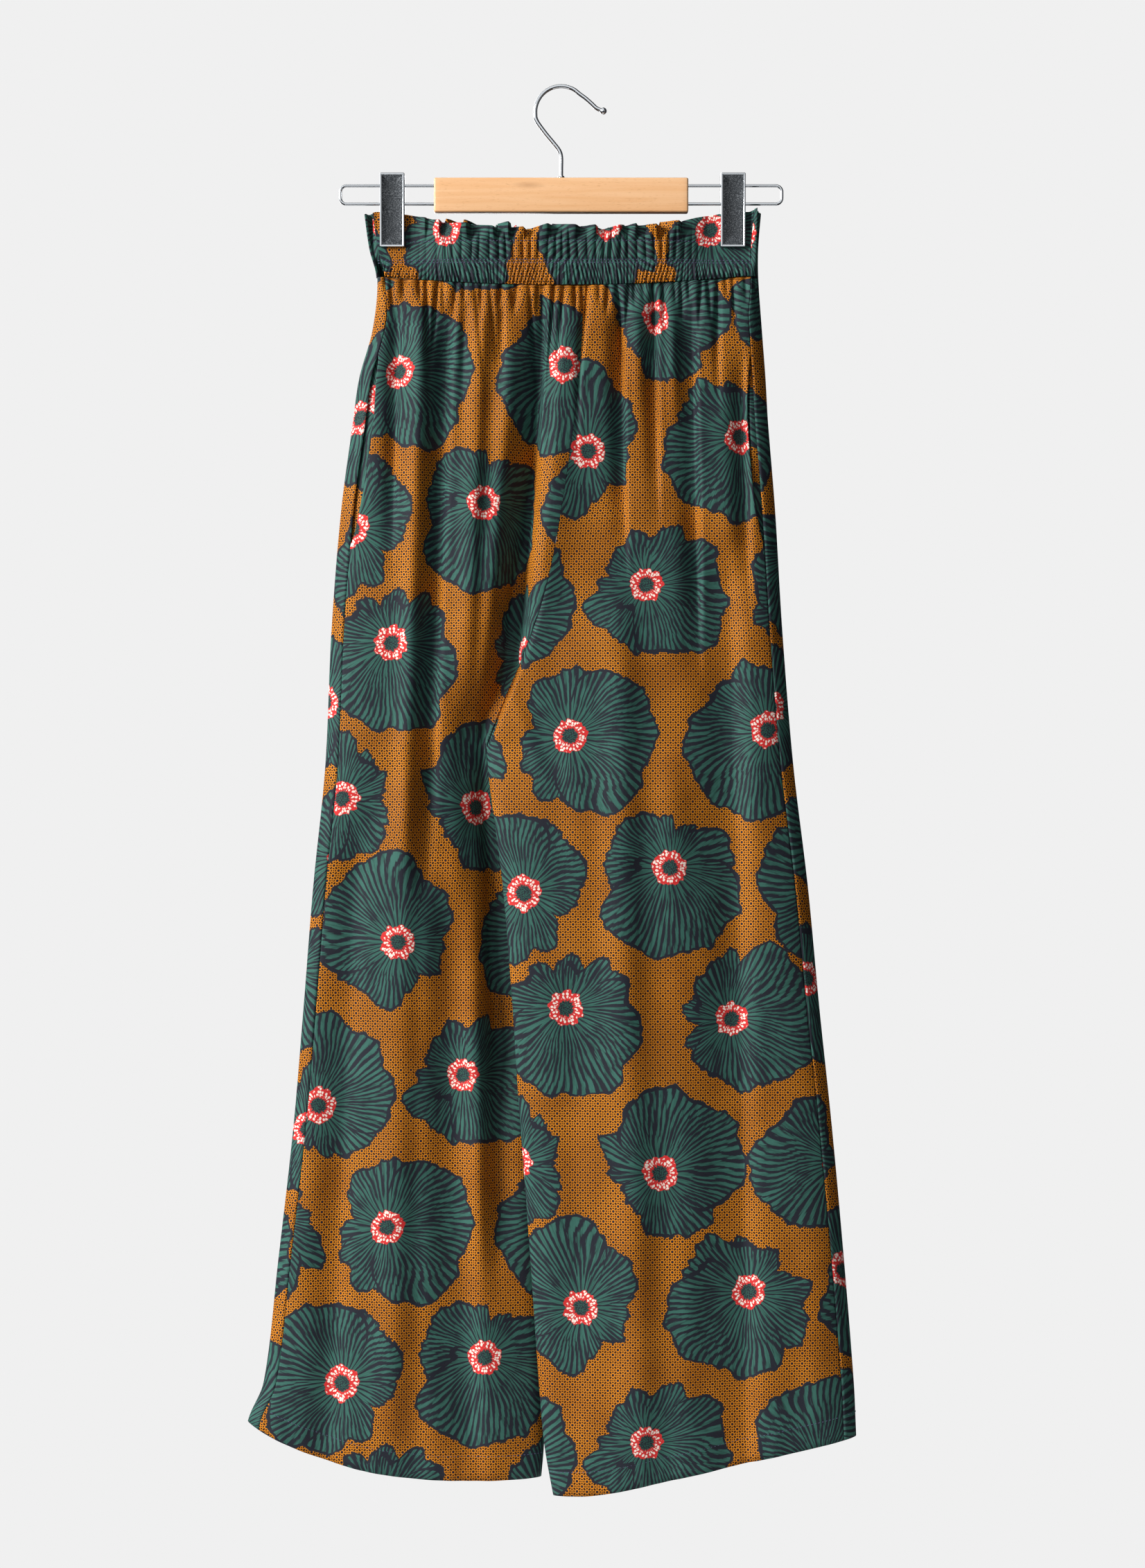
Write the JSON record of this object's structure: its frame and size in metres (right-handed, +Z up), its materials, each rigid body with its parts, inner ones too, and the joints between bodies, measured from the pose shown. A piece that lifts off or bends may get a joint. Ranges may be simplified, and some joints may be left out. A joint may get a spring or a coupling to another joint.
{
  "type": "wide-leg trousers on a clip hanger",
  "caption": "Wide-leg trousers of printed woven cloth with a gathered, ruffled waist, hanging flat from a wooden bar hanger by two metal clips.",
  "frame": {"origin": "underside of the hook's crown, where the rod that holds the hanger lies", "axes": "+Z up, the front of the trousers faces -Y, the wearer's left is +X"},
  "size_m": [0.503, 0.0529, 1.165],
  "materials": {
    "print": "soft matt woven cloth with a printed flower and rosette pattern",
    "pocket": "soft matt woven cloth, the same print",
    "beech": "clear satin varnish",
    "chrome": "polished",
    "satin": "satin nickel plate"
  },
  "bodies": {
    "root": {"front_left": "print", "front_right": "print", "back_left": "print", "back_right": "print", "waistband_front": "print", "waistband_back": "print", "pocket_left": "pocket", "pocket_right": "pocket", "hanger_bar": "beech", "hanger_hook": "chrome", "hook_collar": "chrome", "rail_left": "chrome", "rail_right": "chrome", "clip_left_front": "satin", "clip_left_back": "satin", "clip_left_spring": "satin", "clip_right_front": "satin", "clip_right_back": "satin", "clip_right_spring": "satin"}
  },
  "joints": []
}
